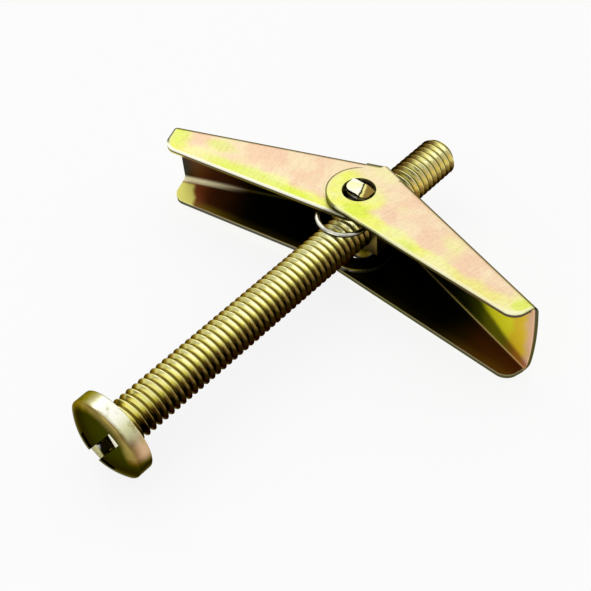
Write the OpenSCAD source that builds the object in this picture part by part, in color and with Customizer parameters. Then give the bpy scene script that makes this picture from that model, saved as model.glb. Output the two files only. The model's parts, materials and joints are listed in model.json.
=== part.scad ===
// Spring toggle: a pan head machine screw carrying a trunnion nut, two sprung folding wings and a torsion spring.
// The origin is the centre of the head's bearing face. +Y runs along the screw to its tip.
// +Z is the direction of the wings' hinge axis and +X points to the outer wing.

/* [Screw] */
// Length of the screw from the bearing face of its head to its tip
screw_len = 63; // [60:1:90]
// Diameter over the crests of the thread
screw_d = 5.9; // [4.8:0.1:7.2]
// Length of the chamfer at the tip
tip_chamfer = 0.7; // [0.4:0.1:1]
// Diameter of the pan head
head_d = 11.7; // [10:0.1:14]
// Height of the head from its bearing face to the top of its dome
head_h = 4.1; // [4:0.1:5]
// Radius of the dome on the head
dome_r = 10; // [9:0.5:14]

/* [Drive recess] */
// Width of the slot across the head
slot_w = 1.7; // [1.4:0.1:2]
// Depth of the slot below the top of the dome
slot_depth = 1.3; // [1:0.1:1.5]
// Angle of the slot about the screw, from +X toward +Z
slot_angle = 55; // [0:5:175]
// How far the recess sits off the middle of the head
recess_off = 0.5; // [0:0.1:0.6]
// Span of the cross recess at the top of the dome
cross_span = 6.4; // [5:0.2:7]
// Span of the cross recess at its floor
cross_floor = 2; // [1.4:0.2:2.4]
// Depth of the cross recess below the top of the dome
cross_depth = 2.8; // [2.4:0.1:3]
// Width of an arm of the cross
cross_w = 1.3; // [1:0.1:1.6]

/* [Trunnion nut] */
// Distance from the head to the hinge axis, where the nut stands on the screw
hinge_y = 44.6; // [40:0.2:50]
// Thickness of the plate that the nut is stamped from
nut_t = 2.4; // [2:0.1:3]
// Metal beside the bore
nut_wall = 1; // [0.8:0.1:1.5]
// Metal over the bore at the foot of a lug
shoulder_wall = 0.5; // [0.4:0.1:1]
// Width of the lugs that the wings turn on
lug_w = 3.5; // [2.8:0.1:4.2]
// How far a lug stands out of the outer wing
lug_proud = 0.4; // [0.2:0.1:0.8]
// Radial clearance of the nut on the crests of the screw
thread_fit = 0.05; // [0.02:0.01:0.08]

/* [Wings] */
// Thickness of the sheet
sheet = 0.8; // [0.6:0.1:1]
// Length of the outer wing from the hinge axis to its tip
outer_len = 29.4; // [24:0.1:36]
// Length of the inner wing from the hinge axis to its tip
inner_len = 30; // [24:0.1:36]
// Metal around the hinge hole in an ear
ear_wall = 2.18; // [1.8:0.02:2.7]
// Space between the rim of the ear and the outside of the outer wing's back
outer_back_room = 1.8; // [1.5:0.1:2.6]
// Space between the rim of the ear and the outside of the inner wing's back
inner_back_room = 2.5; // [1.5:0.1:2.6]
// Angle between the outer wing's free edges and its back
outer_taper = 13.9; // [10:0.1:14]
// Angle between the inner wing's free edges and its back
inner_taper = 12.3; // [10:0.1:14]
// Outside radius of the bends
bend_r = 1.4; // [1.2:0.1:1.8]
// Radius of the free corners at the tip
tip_r = 2; // [1:0.1:2.4]
// How far the heel of a flange runs past the hinge axis
heel_len = 1.9; // [1.5:0.1:2.2]
// Step from the back to the flat edge of the heel
heel_step = 0.6; // [0.4:0.1:0.8]
// Radius of the corner of the heel
heel_r = 0.4; // [0.2:0.1:0.6]
// Angle that the open outer wing leans toward the head
sweep_outer = 16.4; // [14:0.2:22]
// Angle that the open inner wing leans toward the head
sweep_inner = 21.9; // [17:0.1:26]

/* [Spring] */
// Diameter of the spring wire
wire_d = 0.7; // [0.5:0.05:0.85]
// Gap between the two ends of the coil where they pass each other
turn_gap = 0.04; // [0.04:0.01:0.15]
// Radius of the coil's round ends, to the middle of the wire
coil_r = 3.6; // [3.2:0.1:4.4]
// Length of the coil's straight sides
coil_side = 1.75; // [0.6:0.05:2.2]

/* [Clearances] */
// Play between a lug's corners and its hole
lug_play = 0.2; // [0.1:0.05:0.4]
// Gap between the inner wing's flanges and the outer wing's
nest_gap = 0.1; // [0.05:0.05:0.2]
// Gap between the coil and the screw or nut under it
coil_gap = 0.1; // [0.05:0.05:0.2]
// Gap between the coil and the ear over it
ear_gap = 0.06; // [0.05:0.01:0.2]
// Gap between the coil and the corners of the lug
lug_gap = 0.1; // [0.1:0.05:0.4]
// Gap between an open wing's stop edge and the side of the screw
stop_gap = 0.15; // [0.1:0.05:0.3]
// Gap between a spring leg and the back it presses on
leg_gap = 0.05; // [0.02:0.01:0.1]

/* [Hidden] */

screw_r = screw_d / 2;
bore_r = screw_r + thread_fit;
nut_w = 2 * (bore_r + nut_wall);
shoulder_z = sqrt(bore_r * bore_r - lug_w * lug_w / 4) + shoulder_wall;

hole_r = sqrt(lug_w * lug_w + nut_t * nut_t) / 2 + lug_play;
ear_r = hole_r + ear_wall;
outer_back = ear_r + outer_back_room;
inner_back = ear_r + inner_back_room;

turns = 1;
turn_pitch = wire_d + turn_gap;
coil_low_z = max(screw_r, shoulder_z) + coil_gap + wire_d / 2;
coil_top_z = coil_low_z + turns * turn_pitch;
inner_w = 2 * (coil_top_z + wire_d / 2 + ear_gap + sheet);
outer_w = inner_w + 2 * (nest_gap + sheet);
lug_top_z = outer_w / 2 + lug_proud;

// The far round of the coil clears the two far corners of the lug
coil_hole_r = coil_r - wire_d / 2 - lug_gap;
coil_far_c = nut_t / 2 - sqrt(coil_hole_r * coil_hole_r - lug_w * lug_w / 4);
coil_far_y = coil_far_c + coil_r;
coil_mid_y = coil_far_c - coil_side / 2;
rings_a_turn = 28;
wire_sides = 8;

zinc_gold = [0.78, 0.74, 0.42];
zinc_pink = [0.88, 0.76, 0.58];
zinc_olive = [0.62, 0.6, 0.36];
spring_grey = [0.6, 0.6, 0.5];
heel_lap = 0.05;
edge_lap = 0.002;
cut = 1;

// The cross recess is two tapered arms at right angles, sunk along -Y into the dome.
module cross_arm() {
    linear_extrude(height = cross_w, center = true)
        polygon([
            [-cross_span / 2 - cut, cut * 2],
            [-cross_span / 2, 0],
            [-cross_floor / 2, -cross_depth],
            [cross_floor / 2, -cross_depth],
            [cross_span / 2, 0],
            [cross_span / 2 + cut, cut * 2],
        ]);
}

// Everything in the recess stands with its mouth on the plane through the top of the dome.
module drive_recess() {
    translate([0, -head_h, 0])
        rotate([0, -slot_angle, 0])
        translate([0, 0, -recess_off])
        rotate([180, 0, 0]) {
            translate([-head_d, -slot_depth, -slot_w / 2])
                cube([2 * head_d, slot_depth + cut, slot_w]);
            cross_arm();
            rotate([0, 90, 0]) cross_arm();
        }
}

module pan_head() {
    intersection() {
        rotate([90, 0, 0])
            cylinder(r = head_d / 2, h = head_h, $fn = 96);
        translate([0, dome_r - head_h, 0])
            sphere(r = dome_r, $fn = 96);
    }
}

// The shank is drawn over the thread crests.
module shank() {
    rotate([-90, 0, 0]) {
        cylinder(r = screw_r, h = screw_len - tip_chamfer, $fn = 64);
        translate([0, 0, screw_len - tip_chamfer])
            cylinder(r1 = screw_r, r2 = screw_r - tip_chamfer, h = tip_chamfer, $fn = 64);
    }
}

module machine_screw() {
    color(zinc_gold)
        difference() {
            union() {
                pan_head();
                shank();
            }
            drive_recess();
        }
}

// A plate across the screw, with a lug up and a lug down for the ears to turn on.
module trunnion_nut() {
    color(zinc_olive)
        translate([0, hinge_y, 0])
        difference() {
            union() {
                cube([nut_w, nut_t, 2 * shoulder_z], center = true);
                cube([lug_w, nut_t, 2 * lug_top_z], center = true);
            }
            rotate([90, 0, 0])
                cylinder(r = bore_r, h = nut_t + 2 * cut, center = true, $fn = 64);
        }
}

// One wing lies along its own u axis with the hinge at its origin and its back toward +v.
// The back starts at the stop edge, which meets the side of the screw when the wing is open.
function stop_u(back, sweep) = (screw_r + stop_gap - (back - sheet) * sin(sweep)) / cos(sweep);

// The free edge runs square to this direction, from the rim of the ear up toward the back
function edge_out(taper) = [sin(taper), -cos(taper)];

// The rounded free corner touches the free edge and the end of the wing
function corner_c(len, taper) =
    let (foot = ear_r * edge_out(taper), u = len - tip_r)
    [u, foot[1] + (u - foot[0]) * tan(taper) + tip_r / cos(taper)];

// The free edge is drawn a hair inside its two rounds, so that it crosses each of them cleanly.
module flange_outline(len, far_v, taper) {
    corner = corner_c(len, taper);
    circle(r = ear_r, $fn = 96);
    translate(corner) circle(r = tip_r, $fn = 64);
    translate([heel_r - heel_len, far_v - heel_r]) circle(r = heel_r, $fn = 32);
    polygon([
        [-heel_len, 0],
        (ear_r - edge_lap) * edge_out(taper),
        corner + (tip_r - edge_lap) * edge_out(taper),
        corner,
        [len, corner[1]],
        [len, far_v],
        [heel_r - heel_len, far_v],
        [heel_r - heel_len, far_v - heel_r],
        [-heel_len, far_v - heel_r],
    ]);
}

// A round-cornered bar along u, with its far face at v
module bend_bar(from_u, to_u, far_v, width, radius) {
    near_v = -ear_r - 2 * cut;
    translate([from_u, 0, 0]) rotate([90, 0, 90])
        linear_extrude(height = to_u - from_u) {
            translate([near_v, -width / 2]) square([far_v - radius - near_v, width]);
            translate([near_v, radius - width / 2])
                square([far_v - near_v, width - 2 * radius]);
            for (side = [-1, 1])
                translate([far_v - radius, side * (width / 2 - radius)]) circle(r = radius, $fn = 64);
        }
}

// The folded channel from the stop edge to the tip
module channel(width, len, back, taper, from_u) {
    intersection() {
        translate([0, 0, -width / 2])
            linear_extrude(height = width) flange_outline(len, back, taper);
        difference() {
            bend_bar(from_u, len + cut, back, width, bend_r);
            bend_bar(from_u - cut, len + 2 * cut, back - sheet, width - 2 * sheet, bend_r - sheet);
        }
    }
}

// The flat heels and ears, which carry on past the stop edge with no back between them.
// They lap a hair past the stop edge, so that they and the channel are one sheet.
module ears(width, len, back, taper, to_u) {
    far = 2 * ear_r;
    for (side = [-1, 1])
        translate([0, 0, side * (width - sheet) / 2])
            linear_extrude(height = sheet, center = true)
            intersection() {
                flange_outline(len, back - heel_step, taper);
                translate([-far, -far]) square([far + to_u + heel_lap, 2 * far]);
            }
}

module wing(width, len, back, taper, sweep) {
    stop = stop_u(back, sweep);
    rotate([0, 0, -sweep])
        difference() {
            union() {
                channel(width, len, back, taper, stop);
                ears(width, len, back, taper, stop);
            }
            cylinder(r = hole_r, h = width + 2 * cut, center = true, $fn = 64);
        }
}

module outer_wing() {
    color(zinc_pink)
        translate([0, hinge_y, 0])
        wing(outer_w, outer_len, outer_back, outer_taper, sweep_outer);
}

module inner_wing() {
    color(zinc_pink)
        translate([0, hinge_y, 0]) mirror([1, 0, 0])
        wing(inner_w, inner_len, inner_back, inner_taper, sweep_inner);
}

// One wire: a straight leg in from the outer wing, a turn around the lug, a straight leg out to the inner wing.
// A leg ends where the inside of its wing's back comes down to it.
function leg_end(back, sweep) =
    ((back - sheet) / cos(sweep) - coil_far_y - wire_d / 2 - leg_gap) / tan(sweep);

// The middle of the wire on the coil, turning from +Y toward -X
function coil_point(turn) =
    let (a = 360 * turn, end = cos(a) >= 0 ? 1 : -1)
    [
        -coil_r * sin(a),
        coil_mid_y + end * coil_side / 2 + coil_r * cos(a),
        coil_top_z - turn_pitch * turn,
    ];

wire_path = concat(
    [[leg_end(outer_back, sweep_outer), coil_far_y, coil_top_z], [coil_r, coil_far_y, coil_top_z]],
    [for (i = [0 : turns * rings_a_turn]) coil_point(i / rings_a_turn)],
    [[-coil_r, coil_far_y, coil_low_z], [-leg_end(inner_back, sweep_inner), coil_far_y, coil_low_z]]
);

function unit(v) = v / norm(v);
function tangent(path, i) =
    unit(path[min(i + 1, len(path) - 1)] - path[max(i - 1, 0)]);

// One ring of points around the wire, square to its run
function wire_ring(path, i) =
    let (t = tangent(path, i), side = unit(cross(t, [0, 0, 1])), up = cross(side, t))
    [
        for (k = [0 : wire_sides - 1])
            path[i] + wire_d / 2 * (cos(360 * k / wire_sides) * side + sin(360 * k / wire_sides) * up)
    ];

module swept_wire(path) {
    rings = len(path);
    points = [for (i = [0 : rings - 1]) each wire_ring(path, i)];
    walls = [
        for (i = [0 : rings - 2], k = [0 : wire_sides - 1])
            let (next = (k + 1) % wire_sides)
            [
                i * wire_sides + k,
                i * wire_sides + next,
                (i + 1) * wire_sides + next,
                (i + 1) * wire_sides + k,
            ]
    ];
    first_cap = [for (k = [wire_sides - 1 : -1 : 0]) k];
    last_cap = [for (k = [0 : wire_sides - 1]) (rings - 1) * wire_sides + k];
    polyhedron(points = points, faces = concat([first_cap], walls, [last_cap]));
}

module torsion_spring() {
    color(spring_grey)
        translate([0, hinge_y, 0]) swept_wire(wire_path);
}

machine_screw();
trunnion_nut();
outer_wing();
inner_wing();
torsion_spring();
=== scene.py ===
# %% [markdown]
# A spring toggle is a small anchor for hollow walls. A long machine screw carries a nut with two lugs, and on
# the lugs turn two folded steel wings that a spring pushes apart. All but the spring is plated in yellow
# zinc, which gives the gold, pink and green colours that this scene is about.
# This first cell loads the imported model, whose joints and part boxes place the pieces made below.

import json
import math
from types import SimpleNamespace

import bmesh
import bpy
from mathutils import Matrix, Vector


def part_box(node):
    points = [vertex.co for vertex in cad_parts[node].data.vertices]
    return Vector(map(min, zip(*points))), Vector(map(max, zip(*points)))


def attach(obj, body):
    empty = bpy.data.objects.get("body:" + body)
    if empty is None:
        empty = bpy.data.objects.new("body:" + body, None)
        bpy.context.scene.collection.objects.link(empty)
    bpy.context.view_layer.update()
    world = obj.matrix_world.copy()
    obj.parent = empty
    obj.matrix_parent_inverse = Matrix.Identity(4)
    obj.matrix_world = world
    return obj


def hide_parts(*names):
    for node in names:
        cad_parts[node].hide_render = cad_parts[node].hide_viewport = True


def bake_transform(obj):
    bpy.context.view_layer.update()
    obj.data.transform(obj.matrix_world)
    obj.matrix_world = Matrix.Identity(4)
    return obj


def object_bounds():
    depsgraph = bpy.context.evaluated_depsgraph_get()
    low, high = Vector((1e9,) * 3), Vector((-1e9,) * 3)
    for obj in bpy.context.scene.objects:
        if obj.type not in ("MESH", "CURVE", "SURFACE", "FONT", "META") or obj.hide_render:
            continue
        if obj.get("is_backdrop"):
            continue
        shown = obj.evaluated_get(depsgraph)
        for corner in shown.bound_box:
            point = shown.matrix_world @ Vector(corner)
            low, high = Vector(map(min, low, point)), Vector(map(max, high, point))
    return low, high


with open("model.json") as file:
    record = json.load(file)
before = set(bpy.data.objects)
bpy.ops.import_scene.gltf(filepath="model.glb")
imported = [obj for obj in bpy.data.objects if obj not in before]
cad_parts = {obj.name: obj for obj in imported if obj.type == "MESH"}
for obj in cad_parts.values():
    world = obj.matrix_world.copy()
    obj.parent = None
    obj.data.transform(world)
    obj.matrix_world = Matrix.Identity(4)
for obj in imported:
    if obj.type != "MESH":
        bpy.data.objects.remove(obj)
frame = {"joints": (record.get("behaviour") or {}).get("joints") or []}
cad_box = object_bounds()
joints = {joint["name"]: joint for joint in frame["joints"]}

# %% [markdown]
# Blender works in metres here, and small hardware is thought of in millimetres. So lengths are written as
# 2.4 * MM. The sizes that the frame already holds are read from it, so that they can't drift apart: the hinge
# axis from its joint, the height of the lugs and the widths of the wings from their boxes.

# %% Sizes from the frame
MM = 0.001
HINGE = Vector(joints["outer_fold"]["pos_m"])
screw_low, screw_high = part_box("machine_screw")
nut_low, nut_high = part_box("trunnion_nut")
HEAD_H = -screw_low.y
HEAD_R = screw_high.x
SCREW_LEN = screw_high.y
LUG_TOP = nut_high.z
NUT_T = nut_high.y - nut_low.y
NUT_HALF_W = nut_high.x
OUTER_W = 2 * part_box("outer_wing")[1].z
INNER_W = 2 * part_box("inner_wing")[1].z
SCREW_R = 2.95 * MM
print(f"screw {SCREW_LEN / MM:.1f} mm, head {2 * HEAD_R / MM:.1f} by {HEAD_H / MM:.1f} mm")
print(f"wings {OUTER_W / MM:.2f} and {INNER_W / MM:.2f} mm wide, hinge at y {HINGE.y / MM:.1f} mm")

# %% [markdown]
# Every piece below starts as one of Blender's primitives and is shaped in edit mode, the way it is done by
# hand: select some faces or edges, then extrude, bevel or cut them. Operators act on all that is selected, so
# each primitive starts from an empty selection, and these helpers select faces and edges by where they are.
# Blender's bisect takes every corner within 0.1 mm for one on the plane, which is coarse at this size, so it
# is given a finer threshold.


# %% Helpers for modelling
ON_PLANE = 0.0001 * MM
SLIVER = 0.001 * MM
MERGE = 0.002 * MM
FACING = 0.9
PARALLEL = 0.999


def take(piece):
    """Makes a piece the only one that operators act on."""
    bpy.ops.object.select_all(action="DESELECT")
    bpy.context.view_layer.objects.active = piece
    piece.select_set(True)


def start(name, add, **settings):
    """Adds a primitive with nothing else selected, and gives it its name."""
    bpy.ops.object.select_all(action="DESELECT")
    add(**settings)
    piece = bpy.context.active_object
    piece.name = piece.data.name = name
    bpy.ops.object.transform_apply(location=True, rotation=True, scale=True)
    return piece


def box_between(name, low, high):
    low, high = Vector(low), Vector(high)
    return start(
        name, bpy.ops.mesh.primitive_cube_add, size=1, location=(low + high) / 2, scale=high - low
    )


def cylinder(name, radius, depth, sides, **placing):
    """A cylinder along Z, unless it is turned."""
    placing.update(radius=radius, depth=depth, vertices=sides)
    return start(name, bpy.ops.mesh.primitive_cylinder_add, **placing)


def edit(piece):
    take(piece)
    bpy.ops.object.mode_set(mode="EDIT")


def edit_all(piece):
    """Goes into edit mode with the whole mesh selected."""
    edit(piece)
    bpy.ops.mesh.select_all(action="SELECT")


def done():
    bpy.ops.object.mode_set(mode="OBJECT")


def pick(piece, kind, test):
    """In edit mode, selects the edges or faces that pass the test, and says how many do."""
    bpy.ops.mesh.select_mode(type={"edges": "EDGE", "faces": "FACE"}[kind])
    bpy.ops.mesh.select_all(action="DESELECT")
    shape = bmesh.from_edit_mesh(piece.data)
    found = [part for part in getattr(shape, kind) if test(part)]
    for part in found:
        part.select_set(True)
    shape.select_flush_mode()
    bmesh.update_edit_mesh(piece.data)
    return len(found)


def middle(edge):
    return (edge.verts[0].co + edge.verts[1].co) / 2


def along(edge, axis):
    """Is the edge parallel to an axis?"""
    run = (edge.verts[1].co - edge.verts[0].co).normalized()
    return abs(run[axis]) > PARALLEL


def corner_edges(block, corner):
    """In edit mode, selects the edges along Z at a corner that is seen from above."""
    return pick(
        block, "edges", lambda edge: along(edge, 2) and (middle(edge) - corner).length < 0.1 * MM,
    )


def slice_off(point, normal, below=False):
    """In edit mode, cuts off what lies past a plane, or below it, and closes the cut."""
    bpy.ops.mesh.select_all(action="SELECT")
    bpy.ops.mesh.bisect(
        plane_co=point, plane_no=normal, use_fill=True, threshold=ON_PLANE, clear_inner=below,
        clear_outer=not below,
    )


def apply_modifier(piece, kind, **settings):
    modifier = piece.modifiers.new(kind.title(), kind)
    for key, value in settings.items():
        setattr(modifier, key, value)
    take(piece)
    bpy.ops.object.modifier_apply(modifier=modifier.name)
    return piece


def combine(piece, tool, operation):
    """Joins, cuts or trims a piece with a tool, and throws the tool away."""
    apply_modifier(piece, "BOOLEAN", object=tool, operation=operation, solver="EXACT")
    bpy.data.objects.remove(tool)
    return piece


def place(piece, matrix):
    """Moves the shape inside its mesh, so that the object itself stays at the origin."""
    piece.data.transform(matrix)
    piece.data.update()
    return piece


def smooth(piece, angle=40):
    take(piece)
    bpy.ops.object.shade_smooth_by_angle(angle=math.radians(angle))


def soften(piece, width, angle=35, segments=2):
    """Rounds the sharp edges a little, and keeps the flat faces flat in the shading."""
    edit_all(piece)
    bpy.ops.mesh.remove_doubles(threshold=MERGE)
    bpy.ops.mesh.dissolve_limited(angle_limit=math.radians(0.5))
    bpy.ops.mesh.normals_make_consistent(inside=False)
    done()
    apply_modifier(
        piece, "BEVEL", width=width, segments=segments, limit_method="ANGLE",
        angle_limit=math.radians(angle), use_clamp_overlap=True, miter_outer="MITER_ARC",
    )
    smooth(piece)
    apply_modifier(piece, "WEIGHTED_NORMAL", keep_sharp=True, weight=80)
    return piece


def triangles(piece):
    piece.data.calc_loop_triangles()
    return len(piece.data.loop_triangles)


# %% [markdown]
# A pan head and the tip of a screw are turned shapes. On a lathe the tool follows a profile while the work
# spins. Here a circle is the blank: it is extruded from point to point of the profile, and each new ring is
# scaled to its radius. The dome of the head is an arc, so its points come from a formula.


# %% Helper for turned shapes
def turned(name, profile, sides):
    """A closed solid around the Y axis, from (y, radius) points that begin and end near the axis."""
    piece = start(
        name, bpy.ops.mesh.primitive_circle_add, vertices=sides, radius=profile[0][1], fill_type="NGON",
        location=(0, profile[0][0], 0), rotation=(math.radians(90), 0, 0),
    )
    edit_all(piece)
    for (y, radius), (next_y, next_radius) in zip(profile, profile[1:]):
        bpy.ops.mesh.extrude_region_move(TRANSFORM_OT_translate={"value": (0, next_y - y, 0)})
        bpy.ops.transform.resize(
            value=(next_radius / radius, 1, next_radius / radius), center_override=(0, next_y, 0)
        )
    bpy.ops.mesh.select_all(action="SELECT")
    bpy.ops.mesh.normals_make_consistent(inside=False)
    done()
    return piece


# %% [markdown]
# The head of the screw is cold-formed in one blow, so its edges are round and its dome is smooth. The bearing
# face is flat. The profile runs from there, round the edge, up the side and over the dome to the top.

# %% The pan head
DOME_R = 10 * MM
HEAD_EDGE = 0.35 * MM
UNDER_EDGE = 0.25 * MM
rim_y = -HEAD_H + DOME_R - math.sqrt(DOME_R**2 - HEAD_R**2)


def arc(centre, radius, from_deg, to_deg, count):
    """Points on an arc, as (y, radius) pairs. 0 degrees points away from the axis, 90 to the dome."""
    points = []
    for i in range(count + 1):
        turn = math.radians(from_deg + (to_deg - from_deg) * i / count)
        points.append((centre[0] - radius * math.sin(turn), centre[1] + radius * math.cos(turn)))
    return points


dome_edge = math.degrees(math.asin((HEAD_R - HEAD_EDGE) / (DOME_R - HEAD_EDGE)))
edge_y = -HEAD_H + DOME_R - (DOME_R - HEAD_EDGE) * math.cos(math.radians(dome_edge))
head_profile = arc((-UNDER_EDGE, HEAD_R - UNDER_EDGE), UNDER_EDGE, -90, 0, 4)
head_profile += arc((edge_y, HEAD_R - HEAD_EDGE), HEAD_EDGE, 0, 90 - dome_edge, 5)
head_profile += arc((-HEAD_H + DOME_R, 0), DOME_R, 90 - dome_edge, 89, 18)[1:]
head = turned("screw_head", head_profile, 128)
print(f"head: {len(head_profile)} rings, rim at y {rim_y / MM:.2f} mm, {triangles(head)} triangles")

# %% [markdown]
# The recess takes a flat driver or a cross driver. It is punched, so its walls are tapered and its mouth is a
# little round. A slot and a tapered cross are made as solids, joined, turned to their angle and cut out of
# the head. The punch of this one stood half a millimetre off the centre.

# %% The drive recess
SLOT_W = 1.7 * MM
SLOT_DEPTH = 1.3 * MM
SLOT_ANGLE = math.radians(55)
RECESS_OFF = 0.5 * MM
CROSS_SPAN = 6.4 * MM
CROSS_FLOOR = 2.0 * MM
CROSS_DEPTH = 2.8 * MM
CROSS_W = 1.3 * MM
CROSS_NARROWING = 0.8
MOUTH_SOFT = 0.09 * MM
CUT = 1 * MM


def cross_arm(name):
    """One arm of the cross along X, its mouth on the plane z = 0 and its floor narrower than its mouth."""
    half = CROSS_SPAN / 2
    arm = box_between(name, (-half, -CROSS_W / 2, -CROSS_DEPTH), (half, CROSS_W / 2, 0))
    edit(arm)
    pick(arm, "faces", lambda face: face.normal.z < -FACING)
    to_floor = (CROSS_FLOOR / CROSS_SPAN, CROSS_NARROWING, 1)
    bpy.ops.transform.resize(value=to_floor, center_override=(0, 0, -CROSS_DEPTH))
    pick(arm, "faces", lambda face: face.normal.z > FACING)
    bpy.ops.mesh.extrude_region_move(TRANSFORM_OT_translate={"value": (0, 0, CUT)})
    done()
    return arm


recess = box_between("recess", (-2 * HEAD_R, -SLOT_W / 2, -SLOT_DEPTH), (2 * HEAD_R, SLOT_W / 2, CUT))
for turn in (0, 90):
    arm = cross_arm("arm")
    place(arm, Matrix.Rotation(math.radians(turn), 4, "Z"))
    combine(recess, arm, "UNION")
to_head = (
    Matrix.Translation((0, -HEAD_H, 0))
    @ Matrix.Rotation(-SLOT_ANGLE, 4, "Y")
    @ Matrix.Translation((0, 0, -RECESS_OFF))
    @ Matrix.Rotation(math.radians(90), 4, "X")
)
place(recess, to_head)
combine(head, recess, "DIFFERENCE")
soften(head, MOUTH_SOFT, angle=30, segments=3)
print(f"head with its recess: {triangles(head)} triangles")

# %% [markdown]
# The thread is rolled between dies, which press one groove that winds round the shank. Its profile is the
# metric one: flanks at 60 degrees, a narrow crest and a rounded root. A chain of edges is given that profile
# for one pitch, and the Screw modifier winds it up the shank, a few turns too long at each end. The ends are
# then cut square. The thread is wound a trace off the cuts, so that no corner lies right on one.

# %% The threaded shank
PITCH = 1.0 * MM
ROOT_R = SCREW_R - 0.6134 * PITCH
CREST_DROP = 0.05 * MM
ROOT_RISE = 0.06 * MM
ROOT_HOLLOW = 0.015 * MM
TURN_STEPS = 48
SPARE_TURNS = 3
OFF_PLANE = 0.0018 * MM
BURIED = 0.5 * MM
crest = 0.5 * 0.125 * PITCH
flank = crest + (SCREW_R - ROOT_R - ROOT_RISE) * math.tan(math.radians(30))
half_profile = [
    (0, SCREW_R), (0.6 * crest, SCREW_R), (1.5 * crest, SCREW_R - CREST_DROP),
    (flank, ROOT_R + ROOT_RISE), (0.5 * (flank + 0.5 * PITCH), ROOT_R + ROOT_HOLLOW),
]
thread_profile = half_profile + [(0.5 * PITCH, ROOT_R)]
thread_profile += [(PITCH - y, radius) for y, radius in reversed(half_profile)]


def wound_thread(name, from_y, turns):
    """A chain of edges with the thread's profile, wound round the Y axis."""
    piece = start(name, bpy.ops.mesh.primitive_circle_add, vertices=len(thread_profile), radius=1 * MM)
    edit(piece)
    shape = bmesh.from_edit_mesh(piece.data)
    shape.verts.ensure_lookup_table()
    for vert, (y, radius) in zip(shape.verts, thread_profile):
        vert.co = (0, from_y + y, radius)
    ends = {shape.verts[0], shape.verts[-1]}
    bmesh.update_edit_mesh(piece.data)
    pick(piece, "edges", lambda edge: set(edge.verts) == ends)
    bpy.ops.mesh.delete(type="EDGE")
    done()
    apply_modifier(
        piece, "SCREW", axis="Y", angle=2 * math.pi, screw_offset=PITCH, iterations=turns,
        steps=TURN_STEPS, render_steps=TURN_STEPS, use_merge_vertices=True, merge_threshold=MERGE,
    )
    edit_all(piece)
    bpy.ops.mesh.remove_doubles(threshold=MERGE)
    done()
    return piece


thread_turns = round(SCREW_LEN / PITCH)
shank = wound_thread("screw_shank", OFF_PLANE - SPARE_TURNS * PITCH, thread_turns + 2 * SPARE_TURNS)
for end_y, below in ((-BURIED, True), (SCREW_LEN, False)):
    edit(shank)
    slice_off((0, end_y, 0), (0, 1, 0), below)
    done()
edit_all(shank)
bpy.ops.mesh.normals_make_consistent(inside=False)
done()
print(f"shank: {thread_turns} turns, {triangles(shank)} triangles")

# %% [markdown]
# The tip is chamfered so that it starts in a nut easily, and under the head the groove runs out into a short
# plain neck. The chamfer is what is left inside a solid cone, so the thread is trimmed by one. The neck is a
# small turned collar joined to it.

# %% Tip and neck
TIP_CHAMFER = 0.7 * MM
NECK_R = 2.72 * MM
NECK_LEN = 0.75 * MM
CLEAR_R = 4 * MM
CONE_END_R = 0.2 * SCREW_R
TURNED_SIDES = 96
cone_y = SCREW_LEN - TIP_CHAMFER + SCREW_R
die_profile = [(-CUT, CLEAR_R), (cone_y - CLEAR_R, CLEAR_R), (cone_y - CONE_END_R, CONE_END_R)]
combine(shank, turned("die", die_profile, TURNED_SIDES), "INTERSECT")
neck_end = (NECK_LEN + NECK_R - ROOT_R, 0.98 * ROOT_R)
neck_profile = [(-0.8 * BURIED, NECK_R), (NECK_LEN, NECK_R), neck_end]
combine(shank, turned("neck", neck_profile, TURNED_SIDES), "UNION")
screw = combine(head, shank, "UNION")
edit_all(screw)
bpy.ops.mesh.remove_doubles(threshold=SLIVER)
bpy.ops.mesh.dissolve_degenerate(threshold=SLIVER)
done()
smooth(screw, 50)
screw.name = screw.data.name = "pan_head_screw"
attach(screw, "screw")
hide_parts("machine_screw")
print(f"screw: {triangles(screw)} triangles")

# %% [markdown]
# The nut is punched from thick plate: a block across the screw, with a lug up and a lug down that the wings
# turn on. A punch drags the metal down on one side, so the near corners of the lugs are round and the far
# ones are square. The sheared ends of the lugs slope off to one side. The block and the lug are boxes, and
# the bore is cut through both.

# %% The trunnion nut
LUG_W = 3.5 * MM
BORE_R = SCREW_R + 0.05 * MM
SHOULDER_Z = math.sqrt(BORE_R**2 - LUG_W**2 / 4) + 0.5 * MM
LUG_ROUND = 1.15 * MM
LUG_CHAMFER = 0.3 * MM
SHEAR_FROM = 0.55 * MM
SHEAR_SLOPE = math.radians(27)
NUT_SOFT = 0.14 * MM
nut = box_between(
    "plate_nut", (-NUT_HALF_W, -NUT_T / 2, -SHOULDER_Z), (NUT_HALF_W, NUT_T / 2, SHOULDER_Z)
)
lug = box_between("lug", (-LUG_W / 2, -NUT_T / 2, -LUG_TOP), (LUG_W / 2, NUT_T / 2, LUG_TOP))
edit(lug)
pick(lug, "edges", lambda edge: along(edge, 2) and middle(edge).y < 0)
bpy.ops.mesh.bevel(offset=LUG_ROUND, segments=8, affect="EDGES")
pick(lug, "edges", lambda edge: along(edge, 0) and middle(edge).y > 0.9 * NUT_T / 2)
bpy.ops.mesh.bevel(offset=LUG_CHAMFER, segments=2, affect="EDGES")
for side in (-1, 1):
    slice_off((SHEAR_FROM, 0, side * LUG_TOP), (math.sin(SHEAR_SLOPE), 0, side * math.cos(SHEAR_SLOPE)))
done()
combine(nut, lug, "UNION")
bore = cylinder("bore", BORE_R, 4 * NUT_T, 72, rotation=(math.radians(90), 0, 0))
combine(nut, bore, "DIFFERENCE")
place(nut, Matrix.Translation(HINGE))
soften(nut, NUT_SOFT, segments=3)
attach(nut, "nut_carrier")
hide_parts("trunnion_nut")
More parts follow.
